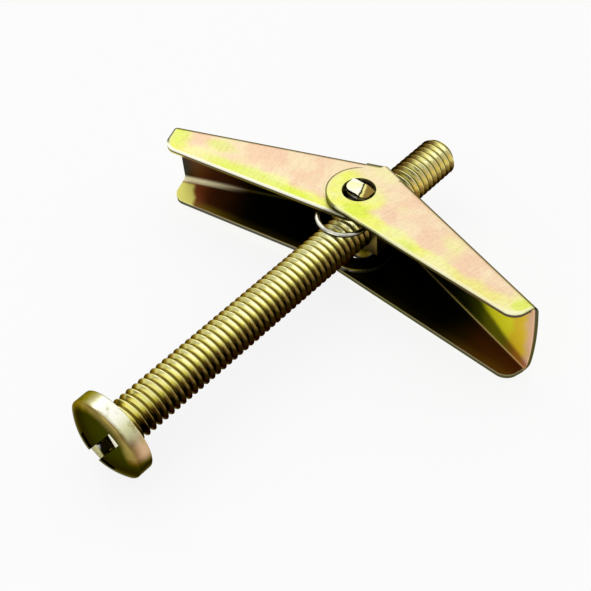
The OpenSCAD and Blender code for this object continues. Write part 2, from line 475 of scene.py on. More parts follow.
print(f"nut: lugs to z {LUG_TOP / MM:.2f} mm, {triangles(nut)} triangles")

# %% [markdown]
# Each wing is one sheet of steel, folded into a channel. Its two flanges end in round ears with a hole for a
# lug, and one channel is narrow enough to sit between the ears of the other. The steps here are a press
# shop's: fold a channel, leave the flat ears without a back, trim the flanges to their outline and punch the
# holes. The wing is made lying along X with its hinge at the origin, and is then turned to its place.

# %% Sizes that both wings share
SHEET = 0.8 * MM
BEND_R = 1.4 * MM
TIP_R = 2.0 * MM
HEEL_LEN = 1.9 * MM
HEEL_STEP = 0.6 * MM
HEEL_LAP = 0.05 * MM
HEEL_R = 0.4 * MM
HOLE_R = math.hypot(LUG_W, NUT_T) / 2 + 0.2 * MM
EAR_R = HOLE_R + 2.18 * MM
STOP_GAP = 0.15 * MM
END_OUT = 0.3 * MM
END_ARC_R = 38 * MM
EDGE_SOFT = 0.11 * MM
wings = {
    "outer": {
        "width": OUTER_W, "length": 29.4 * MM, "back": EAR_R + 1.8 * MM, "back_corner": 0,
        "taper": math.radians(13.9), "sweep": math.radians(16.4), "side": 1,
    },
    "inner": {
        "width": INNER_W, "length": 30.0 * MM, "back": EAR_R + 2.5 * MM, "back_corner": 1.4 * MM,
        "taper": math.radians(12.3), "sweep": math.radians(21.9), "side": -1,
    },
}
print(f"wings: holes {2 * HOLE_R / MM:.2f} mm and ears {2 * EAR_R / MM:.2f} mm across")


def stop_edge(wing):
    """Where the back starts: the edge that meets the side of the screw when the wing is open."""
    reach = SCREW_R + STOP_GAP - (wing["back"] - SHEET) * math.sin(wing["sweep"])
    return reach / math.cos(wing["sweep"])


def to_place(wing):
    """From the wing's own axes to the open wing on its hinge."""
    mirrored = Matrix.Diagonal((wing["side"], 1, 1, 1))
    return Matrix.Translation(HINGE) @ mirrored @ Matrix.Rotation(-wing["sweep"], 4, "Z")


# %% [markdown]
# Folding: a box is the space inside and out of the channel. Its two far edges are bevelled to the bend
# radius, the faces where the channel is open are deleted, and Solidify gives the shell the thickness of the
# sheet on the inside, so that the inner bend is tighter by exactly that thickness, as in a real fold.


# %% Fold the channel
def folded_channel(name, wing):
    half, far = wing["width"] / 2, 2 * EAR_R
    low = Vector((stop_edge(wing), -far, -half))
    high = Vector((wing["length"] + CUT, wing["back"], half))
    channel = box_between(name, low, high)
    edit(channel)
    pick(channel, "edges", lambda edge: along(edge, 0) and middle(edge).y > 0.9 * high.y)
    bpy.ops.mesh.bevel(offset=BEND_R, segments=12, affect="EDGES")
    pick(channel, "faces", lambda face: abs(face.normal.x) > FACING or face.normal.y < -FACING)
    bpy.ops.mesh.delete(type="FACE")
    done()
    apply_modifier(channel, "SOLIDIFY", thickness=SHEET, offset=-1, use_even_offset=True)
    return channel


# %% [markdown]
# Past the stop edge the flanges carry on flat, because nothing is folded there. Two plates make them, and
# they lap into the channel by a hair so that the join is one sheet.


# %% Add the flat ears
def add_ears(channel, wing):
    half, far = wing["width"] / 2, 2 * EAR_R
    for z in (half - SHEET, -half):
        plate = box_between(
            "plate", (-far, -far, z), (stop_edge(wing) + HEEL_LAP, wing["back"] - HEEL_STEP, z + SHEET),
        )
        combine(channel, plate, "UNION")
    return channel


# %% [markdown]
# The outline is a solid block seen from the side: its lower face leans at the taper, its free corner at the
# tip is rounded, and at the hinge it ends in the round of the ear. What the folded channel and this block
# have in common is the wing. First comes the block with its leaning face and its round corners.


# %% The leaning block
def leaning_block(wing, end):
    """The flanges' outline without the ear, up to a straight end."""
    tall = wing["width"]
    block = box_between("outline", (-HEEL_LEN, -2 * EAR_R, -tall), (end, wing["back"] + CUT, tall))
    lean = Vector((math.sin(wing["taper"]), -math.cos(wing["taper"]), 0))
    foot = EAR_R * lean
    heel_foot = Vector((-HEEL_LEN, 0, 0))
    heel_lean = (foot - heel_foot).cross(Vector((0, 0, 1))).normalized()
    edit(block)
    slice_off(foot, lean)
    slice_off(heel_foot, heel_lean)
    tip = Vector((end, foot.y + (end - foot.x) * math.tan(wing["taper"]), 0))
    tangent = TIP_R / math.tan((math.pi / 2 + wing["taper"]) / 2)
    rounded = corner_edges(block, tip)
    bpy.ops.mesh.bevel(offset=tangent, segments=14, affect="EDGES")
    done()
    print(f"outline: {rounded} edge rounded at the tip")
    return block


def cut_heel(block, wing):
    """Takes the step out behind the ear, where the flat flange is lower than the back, and rounds it."""
    tall = wing["width"]
    notch = box_between(
        "notch", (-HEEL_LEN - CUT, wing["back"] - HEEL_STEP, -2 * tall),
        (stop_edge(wing) + HEEL_LAP, wing["back"] + 2 * CUT, 2 * tall),
    )
    combine(block, notch, "DIFFERENCE")
    edit(block)
    rounded = corner_edges(block, Vector((-HEEL_LEN, wing["back"] - HEEL_STEP, 0)))
    bpy.ops.mesh.bevel(offset=HEEL_R, segments=6, affect="EDGES")
    done()
    print(f"outline: {rounded} edge rounded at the heel")


# %% [markdown]
# Then come the two ends. The ear is a cylinder round the hinge. The far end of the back reaches a little
# past the flanges and is cut in a flat arc, and on the narrow wing the corner between the end and the back is
# round. Last, the holes are punched through both ears.


# %% Trim to the outline and punch the holes
def round_back_corner(block, wing, end):
    """Takes the corner between the end and the back off a block, and leaves it round."""
    radius, back, tall = wing["back_corner"], wing["back"], wing["width"]
    corner = box_between(
        "corner", (end - radius, back - radius, -2 * tall), (end + CUT, back + 2 * CUT, 2 * tall)
    )
    kept = cylinder("kept", radius, 5 * tall, 96, location=(end - radius, back - radius, 0))
    combine(corner, kept, "DIFFERENCE")
    combine(block, corner, "DIFFERENCE")


def outline_block(wing):
    tall = wing["width"]
    far_end = wing["length"] + END_OUT
    flange_end = far_end - (tall / 2) ** 2 / (2 * END_ARC_R)
    block = leaning_block(wing, flange_end)
    cut_heel(block, wing)
    combine(block, cylinder("ear", EAR_R, 2 * tall, 112), "UNION")
    back_end = box_between(
        "back_end", (flange_end - CUT, wing["back"] - SHEET, -tall),
        (far_end + CUT, wing["back"] + CUT, tall),
    )
    combine(block, back_end, "UNION")
    if wing["back_corner"]:
        round_back_corner(block, wing, flange_end)
    arc_end = cylinder(
        "arc_end", END_ARC_R, 8 * EAR_R, 480, location=(far_end - END_ARC_R, 0, 0),
        rotation=(math.radians(90), 0, 0),
    )
    combine(block, arc_end, "INTERSECT")
    return block


def make_wing(name, wing):
    piece = add_ears(folded_channel(name, wing), wing)
    combine(piece, outline_block(wing), "INTERSECT")
    combine(piece, cylinder("hole", HOLE_R, 4 * wing["width"], 80), "DIFFERENCE")
    place(piece, to_place(wing))
    soften(piece, EDGE_SOFT)
    return piece


outer = make_wing("outer_channel", wings["outer"])
inner = make_wing("inner_channel", wings["inner"])
for piece, node, body in ((outer, "outer_wing", "outer_leaf"), (inner, "inner_wing", "inner_leaf")):
    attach(piece, body)
    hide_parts(node)
    print(f"{piece.name}: {triangles(piece)} triangles")

# %% [markdown]
# One spring wire opens both wings. It comes in along one wing, makes a turn round the upper lug and leaves
# along the other wing, and each leg presses on the back of its wing from inside. A bent wire is drawn best as
# a curve with a round section: the path is worked out by a formula and turned into a mesh.

# %% The torsion spring
WIRE_R = 0.35 * MM
COIL_R = 3.6 * MM
COIL_SIDE = 1.75 * MM
COIL_RINGS = 96
LEG_RINGS = 96
spring_low, spring_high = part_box("torsion_spring")
coil_low_z = spring_low.z + WIRE_R
coil_top_z = spring_high.z - WIRE_R
far_y = spring_high.y - WIRE_R
leg_ends = {"outer": spring_high.x, "inner": spring_low.x}
coil_mid_y = far_y - COIL_R - COIL_SIDE / 2


def coil_point(turn):
    """The middle of the wire, from the far side toward -X and round the lug, a turn from top to bottom."""
    angle = 2 * math.pi * turn
    end = 1 if math.cos(angle) >= 0 else -1
    return (
        -COIL_R * math.sin(angle), coil_mid_y + end * COIL_SIDE / 2 + COIL_R * math.cos(angle),
        coil_top_z - (coil_top_z - coil_low_z) * turn,
    )


def leg_points(end_x, z):
    """A straight leg along the far side, from its end to the coil."""
    return [(end_x * (1 - i / LEG_RINGS), far_y, z) for i in range(LEG_RINGS)]


def bent_wire(name, points):
    """A round wire whose middle runs through the points."""
    bpy.ops.object.select_all(action="DESELECT")
    bpy.ops.curve.primitive_bezier_curve_add()
    curve = bpy.context.active_object.data
    curve.splines.clear()
    spline = curve.splines.new("POLY")
    spline.points.add(len(points) - 1)
    for knot, point in zip(spline.points, points):
        knot.co = (*point, 1)
    curve.dimensions = "3D"
    curve.bevel_depth = WIRE_R
    curve.bevel_resolution = 6
    curve.use_fill_caps = True
    bpy.ops.object.convert(target="MESH")
    wire = bpy.context.active_object
    wire.name = wire.data.name = name
    edit_all(wire)
    bpy.ops.mesh.remove_doubles(threshold=SLIVER)
    bpy.ops.mesh.normals_make_consistent(inside=False)
    done()
    smooth(wire, 50)
    return wire


coil = [coil_point(i / COIL_RINGS) for i in range(COIL_RINGS + 1)]
outer_leg = bent_wire("spring_coil_leg", leg_points(leg_ends["outer"], coil_top_z) + coil)
inner_leg = bent_wire(
    "spring_leg", leg_points(leg_ends["inner"], coil_low_z) + [(0, far_y, coil_low_z)]
)
for piece, wing, body in ((outer_leg, "outer", "outer_leaf"), (inner_leg, "inner", "inner_leaf")):
    side = wings[wing]["side"]
    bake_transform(piece)
    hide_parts("torsion_spring")
    print(f"{piece.name}: {triangles(piece)} triangles")

# %% [markdown]
# The finishes come next. Shader maths reads best as plain sums, so this small class wraps a node's socket and
# gives it the signs of arithmetic. Writing mask * 0.5 + noise adds the Math nodes for it. Every node is made
# by one function that takes its type, its settings and its inputs.


# %% A small language for shader maths
def connect(value, socket):
    """Gives a socket its value, which is a number, a colour or another socket."""
    if isinstance(value, Sum):
        value.tree.links.new(value.socket, socket)
    else:
        socket.default_value = value


def add_node(tree, kind, settings=None, **inputs):
    node = tree.nodes.new(kind)
    for key, value in (settings or {}).items():
        setattr(node, key, value)
    for name, value in inputs.items():
        connect(value, node.inputs[name.replace("_", " ")])
    return node


def out(node, name=0):
    return Sum(node.outputs[name])


def math_node(tree, operation, *values):
    node = add_node(tree, "ShaderNodeMath", {"operation": operation})
    for value, socket in zip(values, node.inputs):
        connect(value, socket)
    return out(node)


class Sum:
    """A socket that can be added to, multiplied and stepped. Each of these adds a node."""

    def __init__(self, socket):
        self.socket = socket
        self.tree = socket.id_data

    def __add__(self, other):
        return math_node(self.tree, "ADD", self, other)

    def __sub__(self, other):
        return math_node(self.tree, "SUBTRACT", self, other)

    def __rsub__(self, other):
        return math_node(self.tree, "SUBTRACT", other, self)

    def __mul__(self, other):
        return math_node(self.tree, "MULTIPLY", self, other)

    def __truediv__(self, other):
        return math_node(self.tree, "DIVIDE", self, other)

    __radd__ = __add__
    __rmul__ = __mul__

    def size(self):
        return math_node(self.tree, "ABSOLUTE", self)

    def root(self):
        return math_node(self.tree, "SQRT", self)

    def at_least(self, other):
        return math_node(self.tree, "MAXIMUM", self, other)

    def step(self, low, high):
        """0 below low, 1 above high, and a smooth rise between."""
        settings = {"interpolation_type": "SMOOTHSTEP", "clamp": True}
        node = add_node(
            self.tree, "ShaderNodeMapRange", settings, Value=self, From_Min=low, From_Max=high
        )
        return out(node, "Result")


# %% [markdown]
# All the finishes are metal, and all but the wire's have a thin clear film, so they share one builder: a
# metallic surface with a colour, a roughness and a fine relief. The colours are written as the eye sees them
# and turned into the linear values that a shader wants. A metal that is seen at a low angle turns pale, and a
# film tones that down, which is what the grazing colour is for.


# %% The metal builder
WHITE = (1, 1, 1, 1)


def seen(red, green, blue):
    """A colour from 0 to 255 as it looks, made linear."""
    linear = []
    for value in (red, green, blue):
        share = value / 255
        linear.append(share / 12.92 if share <= 0.04045 else ((share + 0.055) / 1.055) ** 2.4)
    return tuple(linear)


def new_material(name):
    """A material, its shader and the place of the shaded point in the piece's own axes."""
    material = bpy.data.materials.new(name)
    material.use_nodes = True
    tree = material.node_tree
    return material, tree.nodes["Principled BSDF"], out(add_node(tree, "ShaderNodeTexCoord"), "Object")


def axes(spot):
    """x, y and z of the point, in millimetres."""
    parts = add_node(spot.tree, "ShaderNodeSeparateXYZ", Vector=spot)
    return [out(parts, axis) / MM for axis in range(3)]


def noise(spot, scale, detail=3.0, roughness=0.55):
    settings = {"noise_dimensions": "3D"}
    values = {"Vector": spot, "Scale": scale, "Detail": detail, "Roughness": roughness}
    return out(add_node(spot.tree, "ShaderNodeTexNoise", settings, **values), "Fac")


def blend(share, first, second):
    """One colour where the share is 0, the other where it is 1, and a mix between."""
    node = add_node(share.tree, "ShaderNodeMix", {"data_type": "RGBA", "blend_type": "MIX"})
    connect(share, node.inputs[0])
    for colour, socket in ((first, node.inputs[6]), (second, node.inputs[7])):
        connect(colour if isinstance(colour, Sum) else (*colour, 1), socket)
    return out(node, 2)


def finish(shader, colour, rough, relief, depth, metallic=1.0, grazing=WHITE):
    """Sets up a metal. The depth is that of its relief."""
    relief_node = add_node(relief.tree, "ShaderNodeBump", Height=relief, Strength=1.0, Distance=depth)
    connect(colour, shader.inputs["Base Color"])
    connect(metallic, shader.inputs["Metallic"])
    connect(rough, shader.inputs["Roughness"])
    connect(out(relief_node, "Normal"), shader.inputs["Normal"])
    shader.inputs["Specular Tint"].default_value = grazing


def paint(piece, material):
    piece.data.materials.clear()
    piece.data.materials.append(material)
    print(f"{piece.name}: {material.name}, {len(material.node_tree.nodes)} nodes")


# %% [markdown]
# Yellow zinc is zinc under a chromate film a fraction of a micron thick. Like oil on water the film colours
# the light by its thickness: peach where it is even, yellow and green where the bath drained off an edge. So
# on a wing the colour follows the distance from the free edge and from the ear, broken up by soft clouds. All
# of this is worked out from the place of a point in the wing's own axes, in millimetres.
# A wing's drips are where a drop hung, each as its place along the wing, its distance from the free edge and
# its reach in both directions.

# %% Colours of the wings, from the clear film to the thick one
PEACH = seen(253, 232, 194)
ROSE = seen(250, 216, 184)
STRAW = seen(250, 250, 172)
YELLOW = seen(246, 250, 122)
LIME = seen(214, 244, 40)
CREAM = seen(255, 253, 232)
PINK = seen(255, 204, 166)
AMBER = seen(255, 216, 44)
LEMON = seen(255, 250, 40)
GREEN = seen(170, 186, 8)
BUTTER = seen(255, 248, 128)
EMBER = seen(170, 84, 36)
MAROON = seen(74, 30, 5)
OLIVE = seen(36, 34, 4)
SOOT = seen(12, 10, 2)
PAINTED_DARK = seen(20, 12, 4)
TAN_LINE = seen(222, 186, 122)
SHELL = seen(255, 244, 200)
MOSS = seen(52, 54, 2)
GRAZING = (*seen(190, 182, 124), 1)
wings["outer"].update(
    drips=((3.0, 1.3, 2.3, 1.3), (12.2, 0.6, 1.6, 0.7), (28.3, 2.0, 1.3, 1.4)), bright_rim=0.5,
    dark_tip=0.0, bend_line=1.0, warm_rim=0.04,
)
wings["inner"].update(
    drips=((17.5, 0.9, 6.5, 1.5), (21.8, 3.9, 3.0, 1.2), (28.3, 2.8, 1.8, 2.6), (9.0, 0.7, 3.5, 0.8)),
    bright_rim=1.0, dark_tip=0.85, bend_line=1.3, warm_rim=0.15,
)
BRUSHED = 0.12


def own_axes(spot, wing):
    """u along the wing, v toward its back, and z, of the point that is shaded."""
    x, y, z = axes(spot)
    to_own = to_place(wing).inverted()
    u = x * to_own[0][0] + y * to_own[0][1] + to_own[0][3] / MM
    v = x * to_own[1][0] + y * to_own[1][1] + to_own[1][3] / MM
    return u, v, z


def in_millimetres(wing):
    """Half the width of a wing, the place of its back and the thickness of its sheet."""
    return wing["width"] / 2 / MM, wing["back"] / MM, SHEET / MM


def place_on_wing(spot, wing):
    """Where a point is on a wing, how far it is from what lies there, and the noises at that place."""
    u, v, z = own_axes(spot, wing)
    half = in_millimetres(wing)[0]
    end, arc_r, tip_r = (wing["length"] + END_OUT) / MM, END_ARC_R / MM, TIP_R / MM
    from_edge = EAR_R / MM - u * math.sin(wing["taper"]) + v * math.cos(wing["taper"])
    from_end = end - half * half / (2 * arc_r) - u
    to_end = (tip_r - from_end).at_least(0.0)
    to_side = (tip_r - from_edge).at_least(0.0)
    stretched = add_node(spot.tree, "ShaderNodeCombineXYZ", X=u * MM, Y=v * (BRUSHED * MM), Z=z * MM)
    return SimpleNamespace(
        u=u, v=v, z=z, height=z.size(), from_hinge=(u * u + v * v).root(), from_edge=from_edge,
        from_tip=end - z * z / (2 * arc_r) - u,
        from_rim=tip_r - (to_end * to_end + to_side * to_side).root(), clouds=noise(spot, 220.0, 4.0),
        broad=noise(spot, 95.0, 2.0), grain=noise(spot, 2600.0, 3.0, 0.7),
        streaks=noise(out(stretched), 3200.0, 2.0),
    )


def blot(u, w, at_u, at_w, reach_u, reach_w):
    """A soft oval patch: 1 in its middle and 0 outside."""
    off_u = (u - at_u) / reach_u
    off_w = (w - at_w) / reach_w
    return 1 - (off_u * off_u + off_w * off_w).step(0.15, 1.3)


# %% [markdown]
# The outside of a wing: a peach body, a yellow rim along the free edge and round the hole, lime where a drop
# hung, a painted highlight along the outline, and thin painted dark reflections round the ear, at the tip, on
# the bend and on the sheared edges, which keep a thin bright band near the top of each flange.


# %% Outside of a wing
def outer_film(wing, at):
    """The film on the outer faces, from peach to lime."""
    drift = (at.clouds - 0.5) * 4.0 + (at.broad - 0.5) * 3.0
    band = (1 - (at.from_edge + drift).step(1.3, 2.6)) * (1 - 0.35 * at.u.step(11, 20))
    ear = (1 - (at.from_hinge + drift * 0.5).step(3.6, 5.2)) * (1 - at.v.step(0.5, 3.4))
    tip = 1 - (at.from_tip + drift).step(1.0, 3.5)
    body = blend(at.clouds.step(0.42, 0.6), PEACH, ROSE)
    body = blend((at.broad + at.grain * 0.2).step(0.62, 0.8) * 0.8, body, STRAW)
    drained = blend(at.clouds.step(0.38, 0.6), STRAW, YELLOW)
    film = blend(band.at_least(ear).at_least(tip * 0.8), body, drained)
    for at_u, at_w, reach_u, reach_w in wing["drips"]:
        drip = blot(at.u + drift * 0.8, at.from_edge + drift * 0.35, at_u, at_w, reach_u, reach_w)
        film = blend(drip * (0.2 + 0.35 * (at.clouds + at.grain * 0.3)), film, LIME)
    speckle = (at.grain * 0.6 + at.streaks * 0.4).step(0.42, 0.68)
    return blend(speckle * 0.16, film, EMBER)


def border_lines(film, wing, at):
    """Adds a painted highlight along the outline, and painted dark reflections round the ear, at the tip and
    on the bend.
    """
    half, back, _ = in_millimetres(wing)
    # painted highlight along the outline
    film = blend((1 - at.from_rim.step(0.1, 0.35)) * wing["bright_rim"], film, CREAM)
    # painted dark reflections follow: a line at the tip, round the ear and along the outer bend
    tip_line = (1 - at.from_rim.step(0.14, 0.34)) * at.from_edge.step(0.4, 1.4)
    film = blend(tip_line * wing["dark_tip"], film, OLIVE)
    past_tangent = (at.u * math.cos(wing["taper"]) + at.v * math.sin(wing["taper"])).step(-0.6, 0.4)
    ear_line = (1 - (EAR_R / MM - at.from_hinge).step(0.12, 0.26)) * (1 - past_tangent)
    film = blend(ear_line * (1 - at.v.step(2.0, 3.4)) * 0.8, film, OLIVE)
    bend_from = back - wing["bend_line"]
    bend_line = at.v.step(bend_from, bend_from + 0.45) * at.height.step(half - 1.0, half - 0.6)
    return blend(bend_line * 0.85, film, OLIVE)


def sheared_edges(film, wing, at):
    """Paints the cut edges dark, a painted dark reflection, but for a thin bright band near the top of each
    flange's edge.
    """
    half, back, skin = in_millimetres(wing)
    on_back = at.v.step(back - skin - 0.1, back - skin)
    from_cut = at.from_rim * (1 - on_back) + at.from_tip * on_back
    upper_bright_band = at.z.step(half - 0.4, half - 0.25)
    lower_bright_band = at.z.step(skin - half - 0.3, skin - half - 0.15)
    lower_bright_band = lower_bright_band * (1 - at.z.step(skin - half + 0.1, skin - half + 0.2))
    lip = on_back * (1 - at.v.step(back - skin + 0.04, back - skin + 0.18))
    dark_cut_edge = (1 - (upper_bright_band + lower_bright_band) * (1 - on_back)) * (1 - lip)
    # painted dark reflection on the cut edges
    return blend((1 - from_cut.step(0.03, 0.1)) * dark_cut_edge * 0.9, film, PAINTED_DARK)


# %% [markdown]
# The inside of a wing has a darker film, and painted shade on it deepens from maroon near the tip to nearly
# black at the hinge. It clears toward the open tip: on the wide wing through green, yellow and orange along
# the back, and on the narrow wing to a plain yellow end of the flange. A painted highlight runs along the
# lower bend of both.


# %% Inside of a wing
def inner_film_and_shade(wing, at):
    """Maroon film near the tip, with painted shade that darkens it through olive to soot at the hinge, a
    little warmer along the free edge.
    """
    near_tip = at.from_tip + (at.clouds - 0.5) * 4
    film = blend((near_tip + (at.broad - 0.5) * 10).step(5, 14), MAROON, OLIVE)
    # painted shade: the film turns to soot deep in the channel, toward the hinge
    film = blend(near_tip.step(13, 24), film, SOOT)
    return blend((1 - at.from_edge.step(0.2, 1.6)) * wing["warm_rim"], film, AMBER)


def on_inner_back(wing, at):
    back = in_millimetres(wing)[1]
    return at.v.step(back - 1.2, back - 0.85)


def inside_outer_wing(wing, at):
    half, back, skin = in_millimetres(wing)
    near_tip = at.from_tip + (at.clouds - 0.5) * 4
    wall = blend(near_tip.step(0.4, 1.9), PINK, AMBER)
    # past the clear colours by the tip, the back turns to soot deeper in: painted shade
    for clear_to, thick_from, colour in ((2.8, 4.6, LEMON), (7.5, 10.5, GREEN), (11.0, 17, SOOT)):
        wall = blend(near_tip.step(clear_to, thick_from), wall, colour)
    # painted shadow on the lower part of the back under the upper flange, ember near the tip and dark moss
    # further in
    low = 1 - (at.z + half - skin - near_tip * 0.32).step(0.2, 1.7)
    wall = blend(low * 0.85, wall, blend(near_tip.step(1.5, 4.5), EMBER, MOSS))
    film = blend(on_inner_back(wing, at), inner_film_and_shade(wing, at), wall)
    # painted highlight along the lower fold, fading away from the tip
    off_line = (back - at.v) - (half + at.z)
    fold_highlight = (1 - off_line.size().step(0.03, 0.16)) * at.v.step(back - 1.5, back - 1.3)
    return blend(fold_highlight * (0.9 - 0.6 * at.from_tip.step(6, 18)), film, TAN_LINE)


def inside_inner_wing(wing, at):
    half, back, _ = in_millimetres(wing)
    on_back = on_inner_back(wing, at)
    even_tip = at.from_tip + (at.clouds - 0.5) * 1.5
    glow = (1 - even_tip.step(2.6, 6.0)) * (0.6 - 0.45 * on_back)
    film = blend(glow, inner_film_and_shade(wing, at), EMBER)
    # painted shade: the back is near black at the tip and stays dark further in
    film = blend(on_back * (0.95 - 0.75 * at.from_tip.step(0.6, 3.0)), film, SOOT)
    clear = 1 - (even_tip + at.from_edge * 0.35).step(3.1, 4.0)
    film = blend(clear * (1 - at.v.step(back - 2.0, back - 1.4)), film, BUTTER)
    # painted highlight along the lower bend, fading away from the tip
    bend_highlight = at.v.step(back - 1.7, back - 1.2) * (1 - at.z.step(0.9 - half, 1.7 - half))
    return blend(bend_highlight * (1 - at.from_tip.step(3, 11)), film, SHELL)


# %% [markdown]
# Both are put together in one material. A point is inside when it lies most of a sheet's thickness below the
# outer faces of the flanges and of the back. Where the film is clear it shows more of its own colour and less
# of what it mirrors, so the metal gives way there.


# %% Finish of the wings
FINE_RELIEF = 0.004 * MM


def wing_metal(name, wing, inside_film):
    material, shader, spot = new_material(name)
    at = place_on_wing(spot, wing)
    half, back, skin = in_millimetres(wing)
    within = 1 - at.height.step(half - 0.9 * skin, half - 0.6 * skin)
    within = within * (1 - at.v.step(back - 0.9 * skin, back - 0.6 * skin))
    outside = border_lines(outer_film(wing, at), wing, at)
    clear_film = within * (1 - at.from_tip.step(6, 13))
    finish(
        shader, blend(within, sheared_edges(outside, wing, at), inside_film(wing, at)),
        rough=0.28 + at.clouds * 0.12 + at.grain * 0.12,
        relief=at.grain + at.streaks * 0.8 + at.clouds * 2.0, depth=FINE_RELIEF,
        metallic=1 - 0.85 * clear_film, grazing=GRAZING,
    )
    return material


paint(outer, wing_metal("zinc_on_outer_wing", wings["outer"], inside_outer_wing))
paint(inner, wing_metal("zinc_on_inner_wing", wings["inner"], inside_inner_wing))

# %% [markdown]
# The screw is plated in a barrel with thousands of others, and its film is gold. Painted light falls on one
# side of the shank, which turns a little between the head and the tip, with a pale painted highlight on the
# crests there, and painted shade darkens the other side and the root of the thread.

# %% Finish of the thread
GOLD = seen(250, 242, 148)
PALE_GOLD = seen(255, 252, 196)
OLD_GOLD = seen(176, 166, 84)
OLIVE_GOLD = seen(128, 120, 50)
WHITE_GOLD = seen(255, 254, 240)
BRONZE = seen(150, 124, 62)
UMBER = seen(44, 32, 8)
ROOT_BROWN = seen(140, 122, 48)
TAN = seen(212, 176, 136)
TAN_DARK = seen(128, 92, 52)
SHADED_OLIVE = seen(54, 56, 10)
SCREW_GRAZING = (*seen(172, 164, 98), 1)
LIT_SIDE_NEAR = math.radians(8)
LIT_SIDE_FAR = math.radians(34)


def place_on_screw(spot):
    """Where a point is on the screw, and the noises at that place."""
    x, y, z = axes(spot)
    clouds = noise(spot, 300.0, 4.0)
    return SimpleNamespace(
        x=x, y=y, z=z, radius=(x * x + z * z).root(), clouds=clouds, drift=(clouds - 0.5) * 2,
        grain=noise(spot, 3000.0, 2.0), mottled=noise(spot, 620.0, 5.0, 0.7).step(0.5, 0.66),
    )


def toward_side(at, turn):
    """1 on the side of the screw that a turn from the top gives, and -1 opposite."""
    return (at.x * math.sin(turn) + at.z * math.cos(turn)) / at.radius


def thread_colour_and_shade(at):
    # painted light on one side of the shank and painted shade on the other: umber, bronze, gold and a pale
    # gold highlight
    toward_tip = at.y.step(36, 52)
    bright = toward_side(at, LIT_SIDE_NEAR) * (1 - toward_tip)
    bright = bright + toward_side(at, LIT_SIDE_FAR) * toward_tip + at.drift * 0.06
    crest_shading = blend(bright.step(0.3, 0.75), UMBER, BRONZE)
    crest_shading = blend(bright.step(0.66, 0.9), crest_shading, GOLD)
    crest_shading = blend(bright.step(0.88, 0.98) * (0.6 + 0.4 * at.clouds), crest_shading, PALE_GOLD)
    # painted shade in the root of the groove, black on the shaded side
    root_shade = blend(bright.step(0.45, 0.95), SOOT, ROOT_BROWN)
    film = blend(1 - (at.radius + at.drift * 0.03).step(2.37, 2.52), crest_shading, root_shade)
    end_face = at.y.step(SCREW_LEN / MM - 0.08, SCREW_LEN / MM - 0.02)
    return blend(end_face, film, blend(at.clouds, BRONZE, OLD_GOLD))


# %% [markdown]
# The side of the head has a painted highlight on top, is tan toward one side and mottled, and has painted
# shade in dark olive underneath, as the whole dome has. The recess is painted black as painted shade, and
# both ends of the slot carry a painted highlight.


# %% Finish of the screw
def head_colour_and_shade(at):
    rim = rim_y / MM
    # painted light and shade across the side: darker olive at the left edge, a white gold painted highlight,
    # then pale gold
    film = blend((at.x + at.drift * 0.8).step(-4.2, -1.2), OLIVE_GOLD, OLD_GOLD)
    film = blend((at.x + at.drift * 0.8).step(-2.6, 0.6), film, WHITE_GOLD)
    film = blend((at.x + at.drift * 0.5).step(1.8, 4.0), film, PALE_GOLD)
    film = blend((at.x - at.z + at.drift * 1.5).step(-0.6, 3.2), film, TAN)
    toward_rim = 1 - (at.y + at.drift * 0.4).step(rim, rim + 1.5)
    film = blend(toward_rim * (at.x - at.z + at.drift).step(-0.4, 2.6), film, TAN_DARK)
    film = blend(at.mottled * 0.55, film, OLD_GOLD)
    # painted shade underneath, in dark olive
    film = blend(1 - (at.z + at.drift * 0.7).step(-0.6, 1.6), film, SHADED_OLIVE)
    from_dome = at.y - rim + at.drift * 0.35
    worn_rim = (1 - from_dome.step(-0.1, 0.5)) * (at.z + at.drift * 0.7).step(0.2, 2.6)
    film = blend(worn_rim, film, blend(at.clouds, TAN_DARK, OLD_GOLD))
    # painted shade over the whole dome
    return blend(1 - from_dome.step(-0.7, -0.1), film, SHADED_OLIVE)


def recess_shade_and_highlight(film, at):
    """Adds the recess: what lies deeper than the dome gets painted shade, and the ends of the slot a painted
    highlight.
    """
    dome_r, head_r = DOME_R / MM, HEAD_R / MM
    slot_half, slot_depth = SLOT_W / 2 / MM, SLOT_DEPTH / MM
    depth = at.y - (dome_r - HEAD_H / MM) + (dome_r**2 - at.radius * at.radius).root()
    in_recess = depth.step(0.03, 0.07) * (1 - at.radius.step(head_r - 0.5, head_r - 0.4))
    in_recess = in_recess * (1 - at.y.step(-0.4, -0.2))
    along_slot = at.x * math.cos(SLOT_ANGLE) + at.z * math.sin(SLOT_ANGLE)
    across_slot = at.x * math.sin(SLOT_ANGLE) - at.z * math.cos(SLOT_ANGLE) - RECESS_OFF / MM
    on_floor = 1 - across_slot.size().step(slot_half + 0.01, slot_half + 0.1)
    on_floor = on_floor * (1 - depth.step(slot_depth + 0.05, slot_depth + 0.15))
    ragged = along_slot + across_slot * 0.5 + at.drift * 0.6
    slot_end_highlight = ragged.step(3.7, 4.1) + (1 - ragged.step(-3.0, -2.2))
    # painted shade in the recess, and a painted highlight at both ends of the slot floor
    return blend(in_recess, film, blend(slot_end_highlight * on_floor, SOOT, WHITE_GOLD))


def screw_metal():
    material, shader, spot = new_material("zinc_on_screw")
    at = place_on_screw(spot)
    finish(
        shader, blend(at.y.step(-0.1, 0.05), recess_shade_and_highlight(head_colour_and_shade(at), at), thread_colour_and_shade(at)),
        rough=0.2 + at.clouds * 0.14, relief=at.clouds * 2 + at.grain, depth=FINE_RELIEF,
        grazing=SCREW_GRAZING,
    )
    return material


paint(screw, screw_metal())

# %% [markdown]
# The nut is sheared from plate, so its faces are a little rougher. Down the sides of a lug a painted
# highlight lies between painted dark bands, and across its end painted shade lies in slanted bands: dark,
# gold and bronze.
# The wire of the spring is drawn through a die and left bright, so it has no yellow film and is almost a
# mirror, with painted shade underneath.


